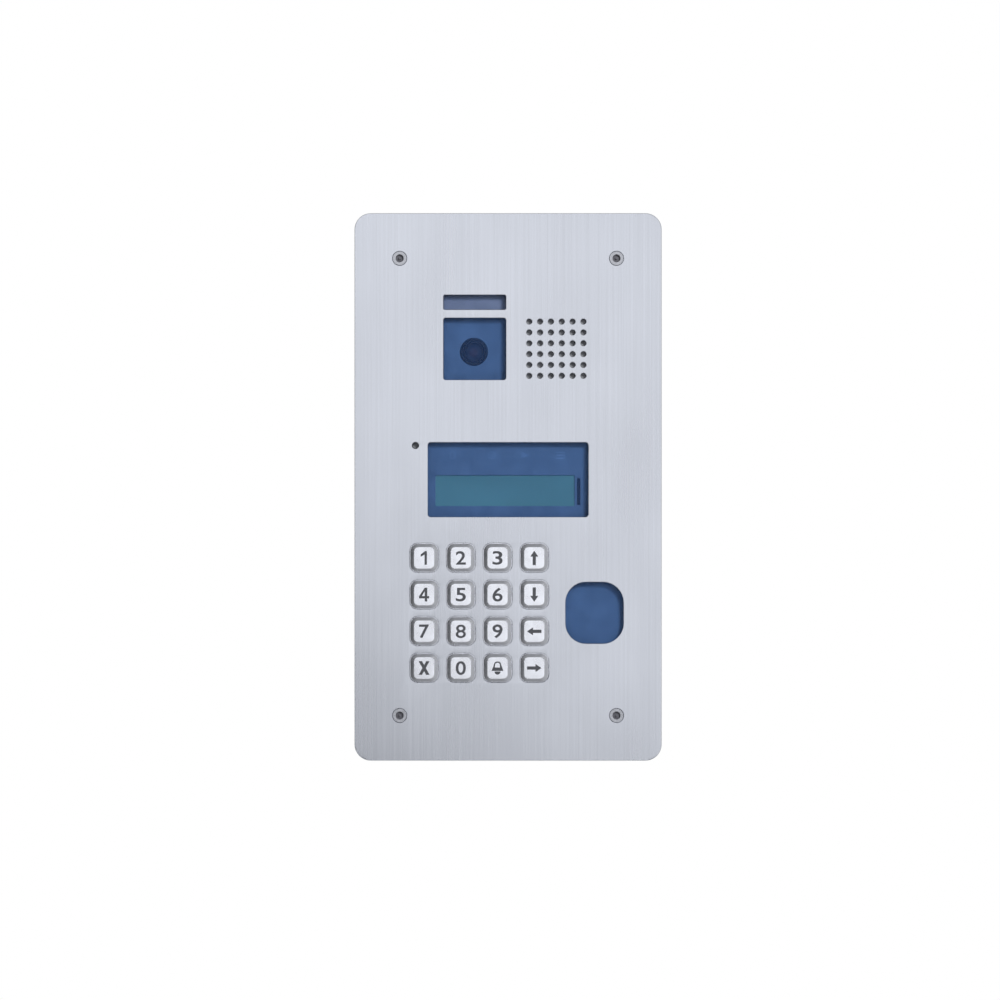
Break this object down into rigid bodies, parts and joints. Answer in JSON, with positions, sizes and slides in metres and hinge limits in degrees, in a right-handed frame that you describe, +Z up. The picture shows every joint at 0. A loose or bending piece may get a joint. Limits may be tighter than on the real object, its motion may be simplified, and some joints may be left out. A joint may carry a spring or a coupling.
{
  "type": "door intercom panel",
  "caption": "Flush-mounted video door station: brushed steel panel with camera, speaker, microphone, display, metal keypad and proximity reader over a wall box.",
  "frame": {"origin": "centre of the front plate's outline, on the wall surface that the panel's gasket seals against", "axes": "+X to the visitor's right, +Z up along the panel's height, +Y into the wall; the front faces -Y"},
  "size_m": [0.17, 0.0566, 0.303],
  "materials": {
    "brushed_steel": "vertical fine brushing, satin",
    "key_steel": "cast metal with a satin nickel-chrome finish",
    "galvanised_steel": "dull zinc coat on sheet steel",
    "screw_steel": "turned stainless steel, slightly dulled",
    "tinted_glazing": "polycarbonate tinted blue, polished",
    "black_rubber": "matt",
    "grey_rubber": "matt silicone and foam",
    "black_plastic": "fine moulded texture",
    "white_plastic": "moulded",
    "green_plastic": "moulded",
    "circuit_board": "solder mask on glass-fibre laminate",
    "lens_barrel": "black anodised",
    "lens_glass": "coated, polished",
    "display_glass": "liquid-crystal cell, polished",
    "speaker_cone": "doped paper",
    "ferrite": "sintered, dull",
    "acoustic_mesh": "fine woven splash mesh",
    "capsule_aluminium": "plain",
    "flat_cable": "flexible flat cable",
    "wire_sleeve": "insulated pair"
  },
  "bodies": {
    "wall_box": {"flush_box": "galvanised_steel", "cable_grommet": "black_rubber"},
    "front_panel": {"front_plate": "brushed_steel", "panel_gasket": "black_rubber", "panel_screw_1": "screw_steel", "panel_screw_2": "screw_steel", "panel_screw_3": "screw_steel", "panel_screw_4": "screw_steel", "camera_window": "tinted_glazing", "illuminator_window": "tinted_glazing", "display_window": "tinted_glazing", "reader_window": "tinted_glazing", "window_retainer": "black_plastic", "speaker_mesh": "acoustic_mesh", "speaker_seal": "grey_rubber", "speaker_basket": "galvanised_steel", "speaker_cone": "speaker_cone", "speaker_magnet": "ferrite", "microphone_boot": "black_rubber", "microphone_capsule": "capsule_aluminium", "display_bezel": "black_plastic", "display_cell": "display_glass", "display_board": "circuit_board", "keypad_housing": "black_plastic", "keypad_mat": "grey_rubber", "keypad_board": "circuit_board", "camera_bracket": "galvanised_steel", "illuminator_board": "circuit_board", "main_board": "circuit_board", "terminal_block": "green_plastic", "volume_trimmer": "white_plastic", "tamper_switch": "black_plastic", "reader_module": "black_plastic", "display_ribbon": "flat_cable", "keypad_ribbon": "flat_cable", "camera_ribbon": "flat_cable", "speaker_lead": "wire_sleeve"},
    "camera_pan": {"camera_pan_frame": "black_plastic"},
    "camera_tilt": {"camera_module": "black_plastic", "camera_lens_barrel": "lens_barrel", "camera_lens_glass": "lens_glass"},
    "volume_rotor": {"volume_rotor": "black_plastic"},
    "tamper_plunger": {"tamper_plunger": "white_plastic"},
    "key_1": {"key_1": "key_steel"},
    "key_2": {"key_2": "key_steel"},
    "key_3": {"key_3": "key_steel"},
    "key_up": {"key_up": "key_steel"},
    "key_4": {"key_4": "key_steel"},
    "key_5": {"key_5": "key_steel"},
    "key_6": {"key_6": "key_steel"},
    "key_down": {"key_down": "key_steel"},
    "key_7": {"key_7": "key_steel"},
    "key_8": {"key_8": "key_steel"},
    "key_9": {"key_9": "key_steel"},
    "key_left": {"key_left": "key_steel"},
    "key_cancel": {"key_cancel": "key_steel"},
    "key_0": {"key_0": "key_steel"},
    "key_bell": {"key_bell": "key_steel"},
    "key_right": {"key_right": "key_steel"}
  },
  "joints": [
    {"name": "panel_lift_out", "type": "slide", "parent": "wall_box", "child": "front_panel", "axis": [0, -1, 0], "range_m": [0, 0.08]},
    {"name": "camera_pan_pivot", "type": "hinge", "parent": "front_panel", "child": "camera_pan", "pos_m": [-0.019, 0.016, 0.075], "axis": [0, 0, 1], "range_deg": [-12, 12]},
    {"name": "camera_tilt_pivot", "type": "hinge", "parent": "camera_pan", "child": "camera_tilt", "pos_m": [-0.019, 0.016, 0.075], "axis": [1, 0, 0], "range_deg": [-12, 12]},
    {"name": "volume_turn", "type": "hinge", "parent": "front_panel", "child": "volume_rotor", "pos_m": [0.042, 0.022, 0.02], "axis": [0, 1, 0], "range_deg": [-135, 135]},
    {"name": "tamper_press", "type": "slide", "parent": "front_panel", "child": "tamper_plunger", "axis": [0, -1, 0], "range_m": [0, 0.002], "stiffness_N_per_m": 400, "springref_m": -0.001},
    {"name": "key_1_press", "type": "slide", "parent": "front_panel", "child": "key_1", "axis": [0, 1, 0], "range_m": [0, 0.0012], "stiffness_N_per_m": 1000, "springref_m": -0.001},
    {"name": "key_2_press", "type": "slide", "parent": "front_panel", "child": "key_2", "axis": [0, 1, 0], "range_m": [0, 0.0012], "stiffness_N_per_m": 1000, "springref_m": -0.001},
    {"name": "key_3_press", "type": "slide", "parent": "front_panel", "child": "key_3", "axis": [0, 1, 0], "range_m": [0, 0.0012], "stiffness_N_per_m": 1000, "springref_m": -0.001},
    {"name": "key_up_press", "type": "slide", "parent": "front_panel", "child": "key_up", "axis": [0, 1, 0], "range_m": [0, 0.0012], "stiffness_N_per_m": 1000, "springref_m": -0.001},
    {"name": "key_4_press", "type": "slide", "parent": "front_panel", "child": "key_4", "axis": [0, 1, 0], "range_m": [0, 0.0012], "stiffness_N_per_m": 1000, "springref_m": -0.001},
    {"name": "key_5_press", "type": "slide", "parent": "front_panel", "child": "key_5", "axis": [0, 1, 0], "range_m": [0, 0.0012], "stiffness_N_per_m": 1000, "springref_m": -0.001},
    {"name": "key_6_press", "type": "slide", "parent": "front_panel", "child": "key_6", "axis": [0, 1, 0], "range_m": [0, 0.0012], "stiffness_N_per_m": 1000, "springref_m": -0.001},
    {"name": "key_down_press", "type": "slide", "parent": "front_panel", "child": "key_down", "axis": [0, 1, 0], "range_m": [0, 0.0012], "stiffness_N_per_m": 1000, "springref_m": -0.001},
    {"name": "key_7_press", "type": "slide", "parent": "front_panel", "child": "key_7", "axis": [0, 1, 0], "range_m": [0, 0.0012], "stiffness_N_per_m": 1000, "springref_m": -0.001},
    {"name": "key_8_press", "type": "slide", "parent": "front_panel", "child": "key_8", "axis": [0, 1, 0], "range_m": [0, 0.0012], "stiffness_N_per_m": 1000, "springref_m": -0.001},
    {"name": "key_9_press", "type": "slide", "parent": "front_panel", "child": "key_9", "axis": [0, 1, 0], "range_m": [0, 0.0012], "stiffness_N_per_m": 1000, "springref_m": -0.001},
    {"name": "key_left_press", "type": "slide", "parent": "front_panel", "child": "key_left", "axis": [0, 1, 0], "range_m": [0, 0.0012], "stiffness_N_per_m": 1000, "springref_m": -0.001},
    {"name": "key_cancel_press", "type": "slide", "parent": "front_panel", "child": "key_cancel", "axis": [0, 1, 0], "range_m": [0, 0.0012], "stiffness_N_per_m": 1000, "springref_m": -0.001},
    {"name": "key_0_press", "type": "slide", "parent": "front_panel", "child": "key_0", "axis": [0, 1, 0], "range_m": [0, 0.0012], "stiffness_N_per_m": 1000, "springref_m": -0.001},
    {"name": "key_bell_press", "type": "slide", "parent": "front_panel", "child": "key_bell", "axis": [0, 1, 0], "range_m": [0, 0.0012], "stiffness_N_per_m": 1000, "springref_m": -0.001},
    {"name": "key_right_press", "type": "slide", "parent": "front_panel", "child": "key_right", "axis": [0, 1, 0], "range_m": [0, 0.0012], "stiffness_N_per_m": 1000, "springref_m": -0.001}
  ]
}
